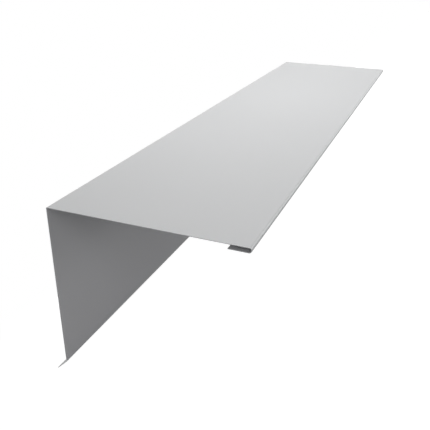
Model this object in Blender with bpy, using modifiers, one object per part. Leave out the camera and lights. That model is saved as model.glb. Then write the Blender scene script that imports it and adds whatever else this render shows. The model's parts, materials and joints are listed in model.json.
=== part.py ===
"""Mono pitch ridge flashing: one folded steel sheet, with an open hem and a drip kick.

The section is drawn as it sits on a roof: the roof leaf level and the fascia leaf hanging from
its ridge fold. The piece is then turned about its length until it lies open side down on a level
floor, on the round of its hem and the tip of its kick. Metres, +Y along the ridge, +Z up.
"""

import math

import bmesh
import bpy
from mathutils import Matrix, Vector
from mathutils.geometry import convex_hull_2d

# Sheet
SHEET_THICKNESS = 0.0007  # gauge of the coated steel
LENGTH = 0.900  # cut length along the ridge

# Roof leaf and its open hem
ROOF_LEAF_WIDTH = 0.225  # outer corner of the ridge fold to the round of the hem
HEM_RETURN = 0.024  # round of the hem to the cut edge of the folded-back strip
HEM_GAP = 0.0044  # clear slot between the roof leaf and the folded-back strip

# Ridge fold and fascia leaf
RIDGE_FOLD = math.radians(90.0)
RIDGE_INSIDE_RADIUS = 0.0005
FASCIA_LEAF_DEPTH = 0.200  # outer corner of the ridge fold to the crease of the kick

# Drip kick along the foot of the fascia leaf
KICK_FOLD = math.radians(45.0)
KICK_INSIDE_RADIUS = 0.0005
KICK_WIDTH = 0.020  # crease to cut edge

# Round folds are made of flat facets, each turning by about this much
FACET_TURN = math.radians(5.0)
SMOOTH_LIMIT = math.radians(30.0)  # a sharper edge than this is shaded as a corner

# Light grey coated steel
PAINT_COLOUR = (0.64, 0.65, 0.66, 1.0)
PAINT_ROUGHNESS = 0.45
PAINT_METALLIC = 0.0


def remove_old_objects():
    """Start from an empty scene."""
    for old in list(bpy.data.objects):
        bpy.data.objects.remove(old, do_unlink=True)


def direction(angle):
    """Unit vector in the plane of the section, across and up, at an angle from straight across."""
    return Vector((math.cos(angle), math.sin(angle)))


def setback(fold, radius):
    """Distance from the corner that a fold rounds off to where its round starts."""
    return radius * math.tan(fold / 2)


class SheetLine:
    """The middle of the sheet's thickness, followed across the section as a folder bends it."""

    def __init__(self, start, heading):
        self.points = [Vector(start)]
        self.heading = heading

    def run(self, distance):
        """Go straight on."""
        self.points.append(self.points[-1] + direction(self.heading) * distance)

    def fold(self, turn, inside_radius):
        """Turn left, or right where turn is negative, on a round of the given inside radius."""
        to_centre = math.copysign(math.pi / 2, turn)
        radius = inside_radius + SHEET_THICKNESS / 2
        centre = self.points[-1] + direction(self.heading + to_centre) * radius
        steps = max(1, round(abs(turn) / FACET_TURN))
        for step in range(1, steps + 1):
            heading = self.heading + turn * step / steps
            self.points.append(centre - direction(heading + to_centre) * radius)
        self.heading += turn


def flashing_section():
    """Points across the whole section, from the hem's cut edge to the kick's.

    The ridge fold's outer corner is at zero, and the painted face lies on the right all the way.
    """
    ridge_setback = setback(RIDGE_FOLD, RIDGE_INSIDE_RADIUS + SHEET_THICKNESS)
    kick_setback = setback(KICK_FOLD, KICK_INSIDE_RADIUS)
    hem_inside_radius = HEM_GAP / 2
    hem_outside_radius = hem_inside_radius + SHEET_THICKNESS

    hem_edge = (ROOF_LEAF_WIDTH - HEM_RETURN, SHEET_THICKNESS / 2 - 2 * hem_outside_radius)
    line = SheetLine(start=hem_edge, heading=0.0)
    line.run(HEM_RETURN - hem_outside_radius)
    line.fold(math.pi, hem_inside_radius)
    line.run(ROOF_LEAF_WIDTH - hem_outside_radius - ridge_setback)
    line.fold(RIDGE_FOLD, RIDGE_INSIDE_RADIUS)
    line.run(FASCIA_LEAF_DEPTH - ridge_setback - kick_setback)
    line.fold(-KICK_FOLD, KICK_INSIDE_RADIUS)
    line.run(KICK_WIDTH - kick_setback)
    return line.points


def strip_along_length(name, section):
    """The section's line drawn out along the length, as an open surface centred on zero."""
    mesh = bpy.data.meshes.new(name)
    strip = bmesh.new()
    near_end = [strip.verts.new((point.x, -LENGTH / 2, point.y)) for point in section]
    line = [strip.edges.new(ends) for ends in zip(near_end, near_end[1:])]
    drawn_out = bmesh.ops.extrude_edge_only(strip, edges=line)["geom"]
    far_end = [item for item in drawn_out if isinstance(item, bmesh.types.BMVert)]
    bmesh.ops.translate(strip, verts=far_end, vec=(0.0, LENGTH, 0.0))
    bmesh.ops.recalc_face_normals(strip, faces=strip.faces)
    strip.to_mesh(mesh)
    strip.free()
    mesh.shade_smooth()
    mesh.set_sharp_from_angle(angle=SMOOTH_LIMIT)
    return mesh


def coated_steel():
    """Light grey paint on steel."""
    material = bpy.data.materials.new("light_grey_coated_steel")
    material.use_nodes = True
    shader = material.node_tree.nodes["Principled BSDF"]
    shader.inputs["Base Color"].default_value = PAINT_COLOUR
    shader.inputs["Roughness"].default_value = PAINT_ROUGHNESS
    shader.inputs["Metallic"].default_value = PAINT_METALLIC
    return material


def folded_sheet(collection):
    """The whole flashing, in the place that it has on a roof."""
    mesh = strip_along_length("ridge_flashing", flashing_section())
    mesh.materials.append(coated_steel())
    flashing = bpy.data.objects.new("ridge_flashing", mesh)
    collection.objects.link(flashing)
    gauge = flashing.modifiers.new("Sheet gauge", "SOLIDIFY")
    gauge.thickness = SHEET_THICKNESS
    gauge.offset = 0.0
    gauge.use_even_offset = True
    return flashing


def lay_on_floor(flashing):
    """Turn the piece until its open side rests on the floor, and centre it over the origin."""
    evaluated = flashing.evaluated_get(bpy.context.evaluated_depsgraph_get())
    outline = [Vector((v.co.x, v.co.z)) for v in evaluated.data.vertices if v.co.y < 0]
    hull = [outline[index] for index in convex_hull_2d(outline)]
    open_side = max(zip(hull, hull[1:] + hull[:1]), key=lambda ends: (ends[1] - ends[0]).length)
    kick_tip, hem_round = sorted(open_side, key=lambda corner: corner.x)
    rise = hem_round - kick_tip
    turn = math.atan2(rise.y, rise.x)
    turned = [Matrix.Rotation(-turn, 2) @ corner for corner in hull]
    across = [corner.x for corner in turned]
    lowest = min(corner.y for corner in turned)
    flashing.rotation_euler = (0.0, turn, 0.0)
    flashing.location = (-(min(across) + max(across)) / 2, 0.0, -lowest)


def main():
    remove_old_objects()
    collection = bpy.data.collections.new("mono_pitch_ridge_flashing")
    bpy.context.scene.collection.children.link(collection)
    flashing = folded_sheet(collection)
    lay_on_floor(flashing)


main()
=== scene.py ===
"""Mono pitch ridge flashing, dressed: a folded sheet of light grey coated steel on a pale floor.

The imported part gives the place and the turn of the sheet. The sheet that shows is swept by
Geometry Nodes from the same section, with a paint face, a backing face and bare cut edges.
Lengths are in metres. Roof axes are measured from the near end of the ridge: across the roof
leaf, along the ridge and above the roof leaf, as the piece would sit on a roof.
"""

import json
import math

import bpy
from bpy.props import FloatProperty, FloatVectorProperty, IntProperty, PointerProperty
from mathutils import Matrix, Vector

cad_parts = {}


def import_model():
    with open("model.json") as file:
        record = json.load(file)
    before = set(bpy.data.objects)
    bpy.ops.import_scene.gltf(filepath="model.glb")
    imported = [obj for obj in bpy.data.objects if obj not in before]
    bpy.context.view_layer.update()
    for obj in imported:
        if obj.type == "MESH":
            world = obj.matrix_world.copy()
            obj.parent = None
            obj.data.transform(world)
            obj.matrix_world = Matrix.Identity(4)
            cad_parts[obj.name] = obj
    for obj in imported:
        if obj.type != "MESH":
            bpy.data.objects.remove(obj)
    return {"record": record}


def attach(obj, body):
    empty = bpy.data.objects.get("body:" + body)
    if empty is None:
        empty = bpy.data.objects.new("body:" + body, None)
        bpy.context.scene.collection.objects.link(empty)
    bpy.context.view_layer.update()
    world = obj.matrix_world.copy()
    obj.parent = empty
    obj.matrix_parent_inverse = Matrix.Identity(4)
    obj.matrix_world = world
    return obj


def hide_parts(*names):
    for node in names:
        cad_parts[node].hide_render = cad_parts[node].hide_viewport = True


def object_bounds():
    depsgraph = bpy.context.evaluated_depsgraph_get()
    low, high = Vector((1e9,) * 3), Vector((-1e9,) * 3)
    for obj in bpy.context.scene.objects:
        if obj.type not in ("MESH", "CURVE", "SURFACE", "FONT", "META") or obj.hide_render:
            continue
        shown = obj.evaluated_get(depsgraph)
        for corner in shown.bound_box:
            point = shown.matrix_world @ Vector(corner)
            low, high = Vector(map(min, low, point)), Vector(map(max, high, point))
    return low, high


bl_info = {
    "name": "Ridge Flashing",
    "version": (1, 0, 0),
    "blender": (4, 5, 0),
    "location": "3D View > Sidebar > Flashing",
    "description": "Dresses a folded steel ridge flashing and sets up its studio",
    "category": "Object",
}

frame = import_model()
CAD_LOW, CAD_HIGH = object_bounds()
MOUNTS = {mount["name"]: mount for mount in frame["record"]["mounts"]}
ROOF_TOP = MOUNTS["roof_leaf_top"]
FASCIA_BACK = MOUNTS["fascia_leaf_back"]
SHEET_GAUGE = 0.0007


def roof_axes():
    """Matrix from roof axes to the world, with its origin at the near end of the ridge's corner."""
    above = Vector(ROOF_TOP["axis"])
    across = Vector(FASCIA_BACK["axis"])
    roof_height = above.dot(Vector(ROOF_TOP["pos_m"]))
    fascia_front = across.dot(Vector(FASCIA_BACK["pos_m"])) - SHEET_GAUGE
    corner = above * roof_height + across * fascia_front
    corner.y = CAD_LOW.y
    turn = Matrix.Rotation(math.atan2(above.x, above.z), 4, "Y")
    return Matrix.Translation(corner) @ turn


ROOF = roof_axes()


class FlashingSizes(bpy.types.PropertyGroup):
    """Sizes of the folded sheet."""

    gauge: FloatProperty(
        name="Sheet gauge", description="Thickness of the coated sheet",
        default=SHEET_GAUGE, min=0.0003, max=0.003, precision=5, unit="LENGTH",
    )
    length: FloatProperty(
        name="Length", description="Cut length along the ridge",
        default=CAD_HIGH.y - CAD_LOW.y, min=0.1, precision=4, unit="LENGTH",
    )
    roof_leaf: FloatProperty(
        name="Roof leaf", description="Corner of the ridge fold to the round of the hem",
        default=0.225, min=0.05, precision=4, unit="LENGTH",
    )
    fascia_leaf: FloatProperty(
        name="Fascia leaf", description="Corner of the ridge fold to the crease of the kick",
        default=0.200, min=0.05, precision=4, unit="LENGTH",
    )
    hem_return: FloatProperty(
        name="Hem return", description="Round of the hem to its cut edge",
        default=0.024, min=0.005, precision=4, unit="LENGTH",
    )
    hem_gap: FloatProperty(
        name="Hem gap", description="Clear slot inside the hem",
        default=0.0044, min=0.0005, precision=5, unit="LENGTH",
    )
    # 0.01 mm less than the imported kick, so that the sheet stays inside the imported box
    kick: FloatProperty(
        name="Kick", description="Crease of the kick to its cut edge",
        default=0.01999, min=0.002, precision=5, unit="LENGTH",
    )
    kick_fold: FloatProperty(
        name="Kick fold", description="Turn of the kick out from the fascia leaf",
        default=math.radians(45.0), min=0.01, max=math.radians(120.0), subtype="ANGLE",
    )
    fold_radius: FloatProperty(
        name="Fold radius", description="Inside radius of the ridge and kick folds",
        default=0.0005, min=0.0002, precision=5, unit="LENGTH",
    )
    crown_radius: FloatProperty(
        name="Crown radius", description="Outside radius where the roof leaf turns into its hem",
        default=0.00215, min=0.001, precision=5, unit="LENGTH",
    )
    crown_setback: FloatProperty(
        name="Crown setback", description="Full width of the roof leaf in to the hem's side",
        default=0.00045, min=0.0, precision=5, unit="LENGTH",
    )
    press_line_inset: FloatProperty(
        name="Press line inset", description="Full width of the roof leaf in to its press line",
        default=0.0025, min=0.001, precision=5, unit="LENGTH",
    )
    press_line_reach: FloatProperty(
        name="Press line reach", description="Middle to side of the hollow that the blade leaves",
        default=0.0012, min=0.0002, precision=5, unit="LENGTH",
    )
    press_line_depth: FloatProperty(
        name="Press line depth", description="Depth of the hollow that the folding blade leaves",
        default=0.00003, min=0.0, precision=6, unit="LENGTH",
    )
    round_facets: IntProperty(
        name="Facets in a fold", description="Facets in each rounded corner of the section",
        default=18, min=2, max=64,
    )
    lengths: IntProperty(
        name="Lengthwise parts", description="Parts that the sweep is divided into along the ridge",
        default=45, min=1, max=400,
    )


class FlashingFinish(bpy.types.PropertyGroup):
    """Colours and surface of the coated sheet."""

    paint: FloatVectorProperty(
        name="Paint", description="Colour of the weather face",
        default=(0.60, 0.605, 0.61, 1.0), size=4, min=0.0, max=1.0, subtype="COLOR",
    )
    paint_roughness: FloatProperty(
        name="Paint roughness", description="Roughness of the weather face",
        default=0.50, min=0.0, max=1.0, subtype="FACTOR",
    )
    paint_gloss: FloatProperty(
        name="Paint gloss", description="Strength of the weather face's gloss",
        default=0.30, min=0.0, max=1.0, subtype="FACTOR",
    )
    # painted shade: darkens the paint along the press line beside the hem
    crease_painted_shade: FloatProperty(
        name="Crease painted shade", description="Darkening of the paint in the press line",
        default=0.10, min=0.0, max=1.0, subtype="FACTOR",
    )
    # painted highlight: lightens the paint on the hem's crown
    crown_painted_highlight: FloatProperty(
        name="Crown painted highlight", description="Lightening of the paint that is rubbed on the hem's crown",
        default=0.12, min=0.0, max=1.0, subtype="FACTOR",
    )
    # painted shade: darkens the paint on the side of the hem's round
    side_painted_shade: FloatProperty(
        name="Side painted shade", description="Darkening of the paint that is stretched round the hem",
        default=0.14, min=0.0, max=1.0, subtype="FACTOR",
    )
    backing: FloatVectorProperty(
        name="Backing coat", description="Colour of the backing face",
        default=(0.405, 0.406, 0.417, 1.0), size=4, min=0.0, max=1.0, subtype="COLOR",
    )
    backing_roughness: FloatProperty(
        name="Backing roughness", description="Roughness of the backing face",
        default=0.60, min=0.0, max=1.0, subtype="FACTOR",
    )
    backing_gloss: FloatProperty(
        name="Backing gloss", description="Strength of the backing face's gloss",
        default=0.35, min=0.0, max=1.0, subtype="FACTOR",
    )
    steel: FloatVectorProperty(
        name="Cut steel", description="Colour of the torn part of the bare cut edges",
        default=(0.30, 0.305, 0.315, 1.0), size=4, min=0.0, max=1.0, subtype="COLOR",
    )
    shorn_steel: FloatVectorProperty(
        name="Shorn steel", description="Colour of the band that the shear blade polished",
        default=(0.45, 0.455, 0.465, 1.0), size=4, min=0.0, max=1.0, subtype="COLOR",
    )
    steel_roughness: FloatProperty(
        name="Cut steel roughness", description="Roughness of the torn part of the bare cut edges",
        default=0.55, min=0.0, max=1.0, subtype="FACTOR",
    )
    grain: FloatProperty(
        name="Paint grain", description="Size of the fine grain in the paint",
        default=0.0012, min=0.0001, precision=5, unit="LENGTH",
    )


class StudioSettings(bpy.types.PropertyGroup):
    """Camera, lamps and floor."""

    camera_place: FloatVectorProperty(
        name="Camera place", description="Camera in roof axes: across, along and above",
        default=(0.3611, -0.4231, 0.2429), size=3, precision=4, subtype="TRANSLATION",
    )
    heading: FloatProperty(
        name="Heading", description="Turn of the view from along the ridge towards the fascia side",
        default=math.radians(22.194), subtype="ANGLE",
    )
    dip: FloatProperty(
        name="Dip", description="Angle of the view below the plane of the roof leaf",
        default=math.radians(25.354), subtype="ANGLE",
    )
    roll: FloatProperty(
        name="Roll", description="Turn of the camera about its own view",
        default=math.radians(0.419), subtype="ANGLE",
    )
    lens: FloatProperty(
        name="Focal length", description="Focal length in millimetres on a 36 mm sensor",
        default=47.192, min=10.0, precision=3,
    )
    world_light: FloatProperty(
        name="World light", description="Strength of the even light from all round",
        default=0.15, min=0.0,
    )
    floor_tone: FloatProperty(
        name="Floor tone", description="Share of light that the floor throws back",
        default=0.75, min=0.0, max=1.0, subtype="FACTOR",
    )
    floor_white: FloatProperty(
        name="Floor white", description="Brightness of the floor to the camera in full shadow",
        default=0.97, min=0.0, max=1.0, subtype="FACTOR",
    )
    shadow_share: FloatProperty(
        name="Shadow share", description="Part of the floor's tone that shows shadows",
        default=0.20, min=0.0, max=1.0, subtype="FACTOR",
    )


class Nodes:
    """Adds nodes to a tree. A value that is a socket is linked, and any other value is set."""

    COLUMNS = 8
    STEP = (220.0, -260.0)

    def __init__(self, tree):
        self.tree = tree

    def add(self, kind, values=None, **settings):
        node = self.tree.nodes.new(kind)
        row, column = divmod(len(self.tree.nodes), self.COLUMNS)
        node.location = (column * self.STEP[0], row * self.STEP[1])
        for name, value in settings.items():
            setattr(node, name, value)
        self.fill(node, values or {})
        return node

    def fill(self, node, values):
        for socket, value in values.items():
            self.feed(node.inputs[socket], value)

    def feed(self, socket, value):
        if isinstance(value, bpy.types.NodeSocket):
            self.tree.links.new(value, socket)
        else:
            socket.default_value = value

    def math(self, operation, first, second=0.0, third=0.0):
        values = {0: first, 1: second, 2: third}
        return self.add("ShaderNodeMath", values, operation=operation).outputs[0]

    def vector(self, x=0.0, y=0.0, z=0.0):
        return self.add("ShaderNodeCombineXYZ", {0: x, 1: y, 2: z}).outputs[0]

    def split(self, vector):
        return self.add("ShaderNodeSeparateXYZ", {0: vector}).outputs

    def scale(self, vector, factor):
        values = {0: vector, "Scale": factor}
        return self.add("ShaderNodeVectorMath", values, operation="SCALE").outputs[0]

    def ramp(self, value, zero_at, one_at):
        """0 where the value is zero_at, 1 where it is one_at, and an eased step between them."""
        values = {"Value": value, "From Min": zero_at, "From Max": one_at}
        return self.add("ShaderNodeMapRange", values, interpolation_type="SMOOTHSTEP").outputs[0]

    def stored(self, name):
        """A value that the sweep stored on the sheet's points."""
        return self.add("ShaderNodeAttribute", attribute_name=name).outputs["Fac"]


def new_tree(name, kind, inputs, outputs):
    """A node tree with the given sockets, each (name, socket type). An input may add a default."""
    tree = bpy.data.node_groups.new(name, kind)
    for label, socket_type, *default in inputs:
        socket = tree.interface.new_socket(label, in_out="INPUT", socket_type=socket_type)
        if default:
            socket.default_value = default[0]
    for label, socket_type in outputs:
        tree.interface.new_socket(label, in_out="OUTPUT", socket_type=socket_type)
    return tree


SIZE_INPUTS = {
    "Gauge": "gauge",
    "Length": "length",
    "Roof Leaf": "roof_leaf",
    "Fascia Leaf": "fascia_leaf",
    "Hem Return": "hem_return",
    "Hem Gap": "hem_gap",
    "Kick": "kick",
    "Kick Fold": "kick_fold",
    "Fold Radius": "fold_radius",
    "Crown Radius": "crown_radius",
    "Crown Setback": "crown_setback",
    "Press Line Inset": "press_line_inset",
    "Press Line Reach": "press_line_reach",
    "Press Line Depth": "press_line_depth",
    "Facets": "round_facets",
    "Lengthwise Parts": "lengths",
}
WHOLE_NUMBERS = ("Facets", "Lengthwise Parts")
FACES = ("Paint", "Backing", "Cut Steel")
FLAT_MARGIN = 0.002  # from a fold to the point that keeps the leaf's shading flat
PRESS_LINE_POINTS = (0.5, 0.65, 0.8)  # shares of that margin where the press line has points
PRESS_LINE = "press_line"  # 1 along the bottom of the hollow beside the hem, 0 beyond it
HEM_TURN = "hem_turn"  # 0 on the leaves, 1 where the hem's round faces outwards, 2 on its return
THROUGH_GAUGE = "through_gauge"  # 0 at the backing face, 1 at the paint face
MERGE = 0.000002  # points closer together than this become one
SHARP = math.radians(30.0)  # edges that turn further than this stay crisp


def section_corners(nodes, size):
    """Corners of the sheet's middle line, from the kick's cut edge to the hem's.

    Each is (across, above, radius of the middle line on the fold).
    """
    half_gauge = nodes.math("MULTIPLY", size["Gauge"], 0.5)
    fold_round = nodes.math("ADD", size["Fold Radius"], half_gauge)
    hem_round = nodes.math("MULTIPLY_ADD", size["Hem Gap"], 0.5, half_gauge)
    roof_line = nodes.math("MULTIPLY", half_gauge, -1.0)
    hem_line = nodes.math("SUBTRACT", roof_line, nodes.math("MULTIPLY", hem_round, 2.0))
    hem_end = nodes.math("SUBTRACT", size["Roof Leaf"], size["Hem Return"])
    side = nodes.math("SUBTRACT", size["Roof Leaf"], size["Crown Setback"])
    hem_far = nodes.math("SUBTRACT", side, half_gauge)
    crown_round = nodes.math("SUBTRACT", size["Crown Radius"], half_gauge)

    half_fold = nodes.math("MULTIPLY", size["Kick Fold"], 0.5)
    corner_shift = nodes.math("MULTIPLY", half_gauge, nodes.math("TANGENT", half_fold))
    kick_top = nodes.math("MULTIPLY_ADD", size["Fascia Leaf"], -1.0,
                          nodes.math("MULTIPLY", corner_shift, -1.0))
    kick_run = nodes.math("ADD", size["Kick"], corner_shift)
    down_kick = [nodes.math(kind, size["Kick Fold"]) for kind in ("SINE", "COSINE")]

    def on_kick(distance):
        """Point of the kick at a distance from its crease."""
        out, down = [nodes.math("MULTIPLY", share, distance) for share in down_kick]
        return nodes.math("SUBTRACT", half_gauge, out), nodes.math("SUBTRACT", kick_top, down)

    crown_start = nodes.math("SUBTRACT", hem_far, crown_round)
    leaf_end = nodes.math("SUBTRACT", crown_start, FLAT_MARGIN)
    return [
        (*on_kick(kick_run), 0.0),
        (*on_kick(FLAT_MARGIN), 0.0),
        (half_gauge, kick_top, fold_round),
        (half_gauge, nodes.math("ADD", kick_top, FLAT_MARGIN), 0.0),
        (half_gauge, nodes.math("SUBTRACT", roof_line, FLAT_MARGIN), 0.0),
        (half_gauge, roof_line, fold_round),
        (nodes.math("ADD", half_gauge, FLAT_MARGIN), roof_line, 0.0),
        (leaf_end, roof_line, 0.0),
        *[(nodes.math("MULTIPLY_ADD", FLAT_MARGIN, share, leaf_end), roof_line, 0.0)
          for share in PRESS_LINE_POINTS],
        (hem_far, roof_line, crown_round),
        (hem_far, hem_line, hem_round),
        (leaf_end, hem_line, 0.0),
        (hem_end, hem_line, 0.0),
    ]


def pick_by_point(nodes, kind, choices):
    """The choice whose place in the list is the point's own index."""
    switch = nodes.add("GeometryNodeIndexSwitch", data_type=kind)
    while len(switch.index_switch_items) < len(choices):
        switch.index_switch_items.new()
    nodes.feed(switch.inputs["Index"], nodes.add("GeometryNodeInputIndex").outputs[0])
    for place, choice in enumerate(choices):
        nodes.feed(switch.inputs[place + 1], choice)
    return switch.outputs[0]


def section_curve(nodes, size):
    """The section's middle line with its round folds and its stored values.

    The curve is across by down, which is how the sweep reads a section.
    """
    corners = section_corners(nodes, size)
    points = nodes.add("GeometryNodeMeshLine", {"Count": len(corners)})
    line = nodes.add("GeometryNodeMeshToCurve", {"Mesh": points.outputs[0]})
    places = [nodes.vector(across, nodes.math("MULTIPLY", above, -1.0))
              for across, above, _ in corners]
    placed = nodes.add("GeometryNodeSetPosition", {
        "Geometry": line.outputs[0], "Position": pick_by_point(nodes, "VECTOR", places),
    })
    rounded = nodes.add("GeometryNodeFilletCurve", {
        "Curve": placed.outputs[0], "Count": size["Facets"], "Limit Radius": True,
        "Radius": pick_by_point(nodes, "FLOAT", [radius for _, _, radius in corners]),
    }, mode="POLY")
    return press_line(nodes, size, hem_turn(nodes, size, rounded.outputs[0]))


def store(nodes, geometry, name, value):
    """The geometry with a value stored on its points, for the shaders to read."""
    values = {"Geometry": geometry, "Name": name, "Value": value}
    return nodes.add("GeometryNodeStoreNamedAttribute", values,
                     data_type="FLOAT", domain="POINT").outputs[0]


def hem_turn(nodes, size, section):
    """The section with the hem's turn away from the roof leaf stored on its points."""
    across = nodes.split(nodes.add("GeometryNodeInputPosition").outputs[0])[0]
    onward = nodes.split(nodes.add("GeometryNodeInputTangent").outputs[0])[0]
    turned = nodes.math("SUBTRACT", 1.0, onward)
    hem_start = nodes.math("SUBTRACT", size["Roof Leaf"], size["Hem Return"])
    on_hem = nodes.math("GREATER_THAN", across, nodes.math("SUBTRACT", hem_start, MERGE))
    return store(nodes, section, HEM_TURN, nodes.math("MULTIPLY", turned, on_hem))


def press_line(nodes, size, section):
    """The section with the shallow hollow that the folding blade leaves beside the hem."""
    across, down, _ = nodes.split(nodes.add("GeometryNodeInputPosition").outputs[0])
    middle = nodes.math("SUBTRACT", size["Roof Leaf"], size["Press Line Inset"])
    beside = nodes.math("ABSOLUTE", nodes.math("SUBTRACT", across, middle))
    on_roof_leaf = nodes.math("LESS_THAN", down, nodes.math("MULTIPLY", size["Hem Gap"], 0.5))
    hollow = nodes.math("MULTIPLY", nodes.ramp(beside, size["Press Line Reach"], 0.0), on_roof_leaf)
    sink = nodes.vector(0.0, nodes.math("MULTIPLY", hollow, size["Press Line Depth"]))
    return nodes.add("GeometryNodeSetPosition", {
        "Geometry": store(nodes, section, PRESS_LINE, hollow), "Offset": sink,
    }).outputs[0]


def merged(nodes, geometry):
    """The geometry with the points that fall together made one."""
    values = {"Geometry": geometry, "Distance": MERGE}
    return nodes.add("GeometryNodeMergeByDistance", values).outputs[0]


def middle_sheet(nodes, size):
    """The middle of the sheet's gauge, swept along the ridge."""
    rail = nodes.add("GeometryNodeCurvePrimitiveLine", {
        "Start": (0.0, 0.0, 0.0), "End": nodes.vector(0.0, size["Length"]),
    })
    stations = nodes.math("ADD", size["Lengthwise Parts"], 1.0)
    rail = nodes.add("GeometryNodeResampleCurve", {"Curve": rail.outputs[0], "Count": stations})
    swept = nodes.add("GeometryNodeCurveToMesh", {
        "Curve": rail.outputs[0], "Profile Curve": section_curve(nodes, size),
    })
    return merged(nodes, swept.outputs[0])


def full_gauge(nodes, size):
    """The sheet with its gauge, and the selections of its paint face and of its cut edges."""
    normal = nodes.add("GeometryNodeInputNormal").outputs["Normal"]
    to_back = nodes.scale(normal, nodes.math("MULTIPLY", size["Gauge"], -0.5))
    back = nodes.add("GeometryNodeSetPosition", {
        "Geometry": middle_sheet(nodes, size), "Offset": to_back,
    }).outputs[0]
    raised = nodes.add("GeometryNodeExtrudeMesh", {
        "Mesh": back, "Offset Scale": size["Gauge"], "Individual": False,
    }, mode="FACES").outputs
    turned_over = nodes.add("GeometryNodeFlipFaces", {"Mesh": back}).outputs[0]
    both = nodes.add("GeometryNodeJoinGeometry")
    nodes.feed(both.inputs[0], turned_over)
    nodes.feed(both.inputs[0], raised["Mesh"])
    closed = merged(nodes, both.outputs[0])
    return store(nodes, closed, THROUGH_GAUGE, raised["Top"]), raised["Top"], raised["Side"]


def shaded(nodes, sheet):
    """The sheet shaded smooth, but for its sharp edges."""
    edge_angle = nodes.add("GeometryNodeInputMeshEdgeAngle").outputs["Unsigned Angle"]
    soft = nodes.math("LESS_THAN", edge_angle, SHARP)
    for domain, smooth in (("FACE", True), ("EDGE", soft)):
        sheet = nodes.add("GeometryNodeSetShadeSmooth", {
            "Geometry": sheet, "Shade Smooth": smooth,
        }, domain=domain).outputs[0]
    return sheet


def flashing_tree():
    """Geometry Nodes tree that sweeps the section and gives it its gauge and its three faces."""
    inputs = [(name, "NodeSocketInt" if name in WHOLE_NUMBERS else "NodeSocketFloat")
              for name in SIZE_INPUTS]
    inputs += [("Place", "NodeSocketVector"), ("Turn", "NodeSocketVector")]
    inputs += [(face, "NodeSocketMaterial") for face in FACES]
    outputs = [("Sheet", "NodeSocketGeometry")]
    tree = new_tree("folded_flashing", "GeometryNodeTree", inputs, outputs)
    nodes = Nodes(tree)
    size = nodes.add("NodeGroupInput").outputs
    sheet, paint_face, cut_edges = full_gauge(nodes, size)
    laid = nodes.add("GeometryNodeTransform", {
        "Geometry": shaded(nodes, sheet), "Translation": size["Place"], "Rotation": size["Turn"],
    })
    whole = nodes.add("GeometryNodeRealizeInstances", {"Geometry": laid.outputs[0]})
    coated = nodes.add("GeometryNodeSetMaterial", {
        "Geometry": whole.outputs[0], "Material": size["Backing"],
    })
    for face, selection in (("Paint", paint_face), ("Cut Steel", cut_edges)):
        coated = nodes.add("GeometryNodeSetMaterial", {
            "Geometry": coated.outputs[0], "Selection": selection, "Material": size[face],
        })
    nodes.add("NodeGroupOutput", {"Sheet": coated.outputs[0]})
    return tree


def sweep_sheet(sizes, materials):
    """The folded sheet as a plain mesh, in its place on the floor."""
    start = bpy.data.objects.new("folded_sheet_sweep", bpy.data.meshes.new("folded_sheet_sweep"))
    bpy.context.scene.collection.objects.link(start)
    sweep = start.modifiers.new("Fold", "NODES")
    tree = flashing_tree()
    sweep.node_group = tree
    values = {name: getattr(sizes, prop) for name, prop in SIZE_INPUTS.items()}
    values.update(zip(FACES, materials))
    values["Place"] = ROOF.to_translation()
    values["Turn"] = Vector(ROOF.to_euler())
    for item in tree.interface.items_tree:
        if item.in_out == "INPUT":
            sweep[item.identifier] = values[item.name]
    evaluated = start.evaluated_get(bpy.context.evaluated_depsgraph_get())
    mesh = bpy.data.meshes.new_from_object(evaluated)
    mesh.name = "folded_sheet"
    while mesh.materials[0] is None:  # the empty slot that the sweep starts with
        mesh.materials.pop(index=0)
    bpy.data.objects.remove(start)
    sheet = bpy.data.objects.new("folded_sheet", mesh)
    bpy.context.scene.collection.objects.link(sheet)
    return sheet


RELIEF_STRENGTH = 0.5  # share of a relief that shows in the light
COAT_RELIEF = 0.00001  # height of the grain in a coat
EDGE_RELIEF = 0.00002  # height of the torn steel's relief
COAT_DRIFT = 0.10  # swing of a coat's roughness between its clouds
# Values of hem_turn where the crown's painted highlight and the side's painted shade each come in,
# and go out again
CROWN_IN = (0.04, 0.14)
CROWN_OUT = (0.62, 0.50)
SIDE_IN = (0.50, 0.65)
SIDE_OUT = (2.0, 1.4)
SIDE_MATTING = 0.9  # share of the gloss that the paint loses on the hem's side
SHORN_BAND = (0.60, 0.70)  # shares of the gauge between which torn steel gives way to shorn
BAND_WANDER = 0.3  # wander of the shorn band's border, as a share of the gauge
EDGE_SWING = 0.4  # swing of the cut edge's tone
SHORN_SMOOTHING = 0.2  # how much less rough than the torn steel the shorn band is
EDGE_METAL = 0.6  # share of the cut edge that throws light back as bare metal


def noise(nodes, place, spacing, detail, roughness):
    """Noise from 0 to 1 with the given spacing."""
    return nodes.add("ShaderNodeTexNoise", {
        "Vector": place, "Scale": nodes.math("DIVIDE", 1.0, spacing),
        "Detail": detail, "Roughness": roughness,
    }).outputs["Fac"]


PATTERN_OUTPUTS = [
    ("Colour", "NodeSocketColor"),
    ("Roughness", "NodeSocketFloat"),
    ("Height", "NodeSocketFloat"),
]


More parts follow.
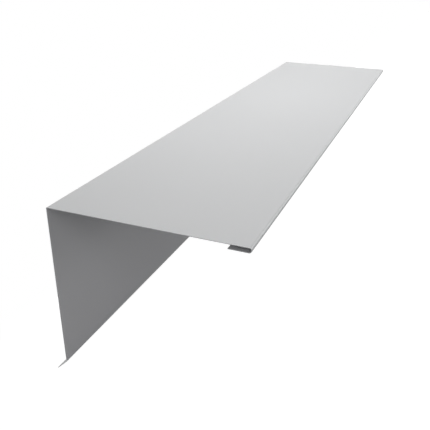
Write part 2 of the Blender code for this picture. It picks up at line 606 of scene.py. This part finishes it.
def grain_group():
    """Shader group for sprayed or rolled paint: fine grain, faint clouds and their relief."""
    tree = new_tree("paint_grain", "ShaderNodeTree", [
        ("Vector", "NodeSocketVector"),
        ("Colour", "NodeSocketColor"),
        ("Variation", "NodeSocketFloat", 0.03),
        ("Grain", "NodeSocketFloat"),
        ("Clouds", "NodeSocketFloat", 0.15),
        ("Roughness", "NodeSocketFloat"),
    ], PATTERN_OUTPUTS)
    nodes = Nodes(tree)
    given = nodes.add("NodeGroupInput").outputs
    fine = noise(nodes, given["Vector"], given["Grain"], detail=2.0, roughness=0.6)
    clouds = noise(nodes, given["Vector"], given["Clouds"], detail=3.0, roughness=0.55)
    both = nodes.math("ADD", fine, clouds)
    swing = nodes.math("MULTIPLY_ADD", both, given["Variation"], 1.0)
    tone = nodes.math("SUBTRACT", swing, given["Variation"])
    drift = nodes.math("MULTIPLY_ADD", clouds, COAT_DRIFT, -COAT_DRIFT / 2)
    nodes.add("NodeGroupOutput", {
        "Colour": nodes.scale(given["Colour"], tone),
        "Roughness": nodes.math("ADD", given["Roughness"], drift),
        "Height": fine,
    })
    return tree


def painted_hem_light_group():
    """Shader group for paint along the hem: painted shade in the crease, a painted highlight on the
    crown, then painted shade and less gloss on the side.
    """
    tree = new_tree("painted_hem_light", "ShaderNodeTree", [
        ("Colour", "NodeSocketColor"),
        ("Gloss", "NodeSocketFloat"),
        ("Crease Dulling", "NodeSocketFloat"),
        ("Crown Rub", "NodeSocketFloat"),
        ("Side Dulling", "NodeSocketFloat"),
    ], [("Colour", "NodeSocketColor"), ("Gloss", "NodeSocketFloat")])
    nodes = Nodes(tree)
    given = nodes.add("NodeGroupInput").outputs
    hollow = nodes.stored(PRESS_LINE)
    turn = nodes.stored(HEM_TURN)
    # masks of the painted highlight on the crown and of the painted shade on the side
    crown = nodes.math("MULTIPLY", nodes.ramp(turn, *CROWN_IN), nodes.ramp(turn, *CROWN_OUT))
    side = nodes.math("MULTIPLY", nodes.ramp(turn, *SIDE_IN), nodes.ramp(turn, *SIDE_OUT))
    # the paint's tone: painted highlight on the crown, painted shade in the press line and on the
    # side
    tone = nodes.math("MULTIPLY_ADD", crown, given["Crown Rub"], 1.0)
    tone = nodes.math("SUBTRACT", tone, nodes.math("MULTIPLY", hollow, given["Crease Dulling"]))
    tone = nodes.math("SUBTRACT", tone, nodes.math("MULTIPLY", side, given["Side Dulling"]))
    matt = nodes.math("MULTIPLY_ADD", side, -SIDE_MATTING, 1.0)
    nodes.add("NodeGroupOutput", {
        "Colour": nodes.scale(given["Colour"], tone),
        "Gloss": nodes.math("MULTIPLY", given["Gloss"], matt),
    })
    return tree


def shorn_edge_group():
    """Shader group for a sheared edge: a polished band beside the paint, torn steel behind it."""
    tree = new_tree("shorn_edge", "ShaderNodeTree", [
        ("Vector", "NodeSocketVector"),
        ("Torn", "NodeSocketColor"),
        ("Shorn", "NodeSocketColor"),
        ("Roughness", "NodeSocketFloat"),
        ("Grain", "NodeSocketFloat", 0.0003),
    ], PATTERN_OUTPUTS)
    nodes = Nodes(tree)
    given = nodes.add("NodeGroupInput").outputs
    torn = noise(nodes, given["Vector"], given["Grain"], detail=3.0, roughness=0.6)
    level = nodes.math("SUBTRACT", nodes.stored(THROUGH_GAUGE), BAND_WANDER / 2)
    band = nodes.ramp(nodes.math("MULTIPLY_ADD", torn, BAND_WANDER, level), *SHORN_BAND)
    colour = nodes.add("ShaderNodeMix", data_type="RGBA")
    nodes.feed(colour.inputs["Factor"], band)
    nodes.feed(colour.inputs["A"], given["Torn"])
    nodes.feed(colour.inputs["B"], given["Shorn"])
    tone = nodes.math("MULTIPLY_ADD", torn, EDGE_SWING, 1.0 - EDGE_SWING / 2)
    nodes.add("NodeGroupOutput", {
        "Colour": nodes.scale(colour.outputs["Result"], tone),
        "Roughness": nodes.math("MULTIPLY_ADD", band, -SHORN_SMOOTHING, given["Roughness"]),
        "Height": torn,
    })
    return tree


def new_material(name):
    """An empty material, its node helper and its shader."""
    material = bpy.data.materials.new(name)
    material.use_nodes = True
    nodes = Nodes(material.node_tree)
    return material, nodes, material.node_tree.nodes["Principled BSDF"]


def show_pattern(nodes, shader, pattern, relief):
    """Gives a shader the colour, the roughness and the relief of a pattern."""
    bump = nodes.add("ShaderNodeBump", {
        "Height": pattern.outputs["Height"], "Distance": relief, "Strength": RELIEF_STRENGTH,
    })
    nodes.fill(shader, {
        "Base Color": pattern.outputs["Colour"],
        "Roughness": pattern.outputs["Roughness"],
        "Normal": bump.outputs[0],
    })


def coat(name, grain, colour, roughness, gloss, grain_size):
    """A coat of paint or of backing lacquer."""
    material, nodes, shader = new_material(name)
    pattern = nodes.add("ShaderNodeGroup", {
        "Vector": nodes.add("ShaderNodeTexCoord").outputs["Object"],
        "Colour": colour, "Roughness": roughness, "Grain": grain_size,
    }, node_tree=grain)
    show_pattern(nodes, shader, pattern, COAT_RELIEF)
    nodes.feed(shader.inputs["Specular IOR Level"], gloss)
    return material


def weather_paint(finish, grain):
    """The weather face's paint, with painted shade and a painted highlight along its hem."""
    paint = coat("grey_paint", grain, tuple(finish.paint), finish.paint_roughness,
                 finish.paint_gloss, finish.grain)
    nodes = Nodes(paint.node_tree)
    shader = nodes.tree.nodes["Principled BSDF"]
    # painted shade in the press line and on the hem's side, and a painted highlight on its crown
    folded = nodes.add("ShaderNodeGroup", {
        "Colour": shader.inputs["Base Color"].links[0].from_socket,
        "Gloss": finish.paint_gloss,
        "Crease Dulling": finish.crease_painted_shade,
        "Crown Rub": finish.crown_painted_highlight,
        "Side Dulling": finish.side_painted_shade,
    }, node_tree=painted_hem_light_group())
    nodes.fill(shader, {
        "Base Color": folded.outputs["Colour"], "Specular IOR Level": folded.outputs["Gloss"],
    })
    return paint


def cut_steel(finish):
    """Sheared edge of the sheet, bare where the shear went through."""
    material, nodes, shader = new_material("cut_steel")
    edge = nodes.add("ShaderNodeGroup", {
        "Vector": nodes.add("ShaderNodeTexCoord").outputs["Object"],
        "Torn": tuple(finish.steel), "Shorn": tuple(finish.shorn_steel),
        "Roughness": finish.steel_roughness,
    }, node_tree=shorn_edge_group())
    show_pattern(nodes, shader, edge, EDGE_RELIEF)
    nodes.feed(shader.inputs["Metallic"], EDGE_METAL)
    return material


class FLASHING_OT_sheet(bpy.types.Operator):
    """Sweep the folded sheet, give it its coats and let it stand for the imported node"""

    bl_idname = "flashing.sheet"
    bl_label = "Folded sheet"

    def execute(self, context):
        finish = context.scene.flashing_finish
        grain = grain_group()
        backing = coat("grey_backing", grain, tuple(finish.backing), finish.backing_roughness,
                       finish.backing_gloss, finish.grain)
        materials = (weather_paint(finish, grain), backing, cut_steel(finish))
        sheet = sweep_sheet(context.scene.flashing_sizes, materials)
        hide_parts("ridge_flashing")
        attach(sheet, "root")
        return {"FINISHED"}


# Soft lamps: name, place, what it is aimed at, width and height, and power in watts
LAMPS = (
    ("key", (1.507, 0.08, 0.794), (0.076, 0.04, 0.078), (1.0, 1.0), 6.55),
    ("over_roof", (0.297, 0.15, 0.470), (0.076, 0.15, 0.078), (1.0, 0.25), 1.85),
    ("front", (0.2, -1.5, 0.5), (0.0, -0.4, 0.05), (0.8, 0.8), 4.5),
    ("near_end", (0.75, -0.90, 0.05), (-0.07, -0.30, 0.06), (0.35, 0.10), 1.15),
    ("far_end", (0.20, 1.60, 0.05), (-0.09, 0.0, 0.04), (0.20, 0.08), 55.0),
    ("fascia_side", (-1.5, 0.0, 0.08), (-0.08, 0.0, 0.08), (1.2, 0.12), 14.5),
)
WHITE = (1.0, 1.0, 1.0, 1.0)
FLOOR_SIDE = 16.0
FLOOR_DROP = 0.0001  # keeps the floor clear of the two lines that the sheet lies on


def lamp(name, place, aim, sides, power):
    """A soft lamp that throws light and doesn't show in the gloss."""
    data = bpy.data.lights.new(name, "AREA")
    data.shape = "RECTANGLE"
    data.size, data.size_y = sides
    data.energy = power
    light = bpy.data.objects.new(name, data)
    light.location = place
    towards = Vector(aim) - light.location
    light.rotation_euler = towards.to_track_quat("-Z", "Y").to_euler()
    light.visible_camera = False
    light.visible_glossy = False
    bpy.context.scene.collection.objects.link(light)


def seen_directly(nodes):
    """1 for rays from the camera, from a gloss and through glass, and 0 for light."""
    path = nodes.add("ShaderNodeLightPath").outputs
    either = nodes.math("MAXIMUM", path["Is Camera Ray"], path["Is Glossy Ray"])
    return nodes.math("MAXIMUM", either, path["Is Transmission Ray"])


def grey(tone):
    """An even grey, opaque."""
    return (tone, tone, tone, 1.0)


def floor(studio):
    """A pale floor, white to the camera but for the shadow."""
    bpy.ops.mesh.primitive_plane_add(size=FLOOR_SIDE, location=(0.0, 0.0, -FLOOR_DROP))
    ground = bpy.context.object
    ground.name = "floor"
    material, nodes, shader = new_material("pale_floor")
    nodes.tree.nodes.remove(shader)
    bounce = nodes.add("ShaderNodeBsdfDiffuse", {"Color": grey(studio.floor_tone)})
    shadow = nodes.add("ShaderNodeBsdfDiffuse", {"Color": grey(studio.shadow_share)})
    glow = nodes.add("ShaderNodeEmission", {"Strength": studio.floor_white})
    white = nodes.add("ShaderNodeAddShader", {0: shadow.outputs[0], 1: glow.outputs[0]})
    mix = nodes.add("ShaderNodeMixShader", {
        0: seen_directly(nodes), 1: bounce.outputs[0], 2: white.outputs[0],
    })
    nodes.feed(nodes.tree.nodes["Material Output"].inputs["Surface"], mix.outputs[0])
    ground.data.materials.append(material)


def world(studio):
    """Even light from all round, white where it is seen."""
    surroundings = bpy.data.worlds.new("studio")
    surroundings.use_nodes = True
    bpy.context.scene.world = surroundings
    nodes = Nodes(surroundings.node_tree)
    nodes.tree.nodes.clear()
    light = nodes.add("ShaderNodeBackground", {"Color": WHITE, "Strength": studio.world_light})
    white = nodes.add("ShaderNodeBackground", {"Color": WHITE, "Strength": 1.0})
    mix = nodes.add("ShaderNodeMixShader", {
        0: seen_directly(nodes), 1: light.outputs[0], 2: white.outputs[0],
    })
    nodes.add("ShaderNodeOutputWorld", {"Surface": mix.outputs[0]})


def camera(studio):
    """The photograph's view of the sheet, kept as the sheet turned to lie on the floor."""
    data = bpy.data.cameras.new("camera")
    data.lens = studio.lens
    view = bpy.data.objects.new("camera", data)
    place = Matrix.Translation(Vector(studio.camera_place))
    heading = Matrix.Rotation(studio.heading, 4, "Z")
    dip = Matrix.Rotation(math.pi / 2 - studio.dip, 4, "X")
    roll = Matrix.Rotation(studio.roll, 4, "Z")
    view.matrix_world = ROOF @ place @ heading @ dip @ roll
    bpy.context.scene.collection.objects.link(view)
    bpy.context.scene.camera = view


class FLASHING_OT_studio(bpy.types.Operator):
    """Lay the floor, hang the lamps and set up the camera"""

    bl_idname = "flashing.studio"
    bl_label = "Studio"

    def execute(self, context):
        studio = context.scene.flashing_studio
        floor(studio)
        world(studio)
        for settings in LAMPS:
            lamp(*settings)
        camera(studio)
        context.scene.view_settings.view_transform = "Standard"
        return {"FINISHED"}


class FLASHING_PT_sidebar(bpy.types.Panel):
    """Sizes, colours and steps of the flashing"""

    bl_label = "Ridge Flashing"
    bl_space_type = "VIEW_3D"
    bl_region_type = "UI"
    bl_category = "Flashing"

    def draw(self, context):
        scene = context.scene
        for group in (scene.flashing_sizes, scene.flashing_finish, scene.flashing_studio):
            box = self.layout.box()
            for name in group.bl_rna.properties.keys():
                if name not in ("rna_type", "name"):
                    box.prop(group, name)
        self.layout.operator("flashing.sheet")
        self.layout.operator("flashing.studio")


CLASSES = (
    FlashingSizes, FlashingFinish, StudioSettings,
    FLASHING_OT_sheet, FLASHING_OT_studio, FLASHING_PT_sidebar,
)


def register():
    for cls in CLASSES:
        bpy.utils.register_class(cls)
    bpy.types.Scene.flashing_sizes = PointerProperty(type=FlashingSizes)
    bpy.types.Scene.flashing_finish = PointerProperty(type=FlashingFinish)
    bpy.types.Scene.flashing_studio = PointerProperty(type=StudioSettings)


def unregister():
    del bpy.types.Scene.flashing_studio
    del bpy.types.Scene.flashing_finish
    del bpy.types.Scene.flashing_sizes
    for cls in reversed(CLASSES):
        bpy.utils.unregister_class(cls)


def main():
    register()
    bpy.ops.flashing.sheet()
    bpy.ops.flashing.studio()


if __name__ == "__main__":
    main()
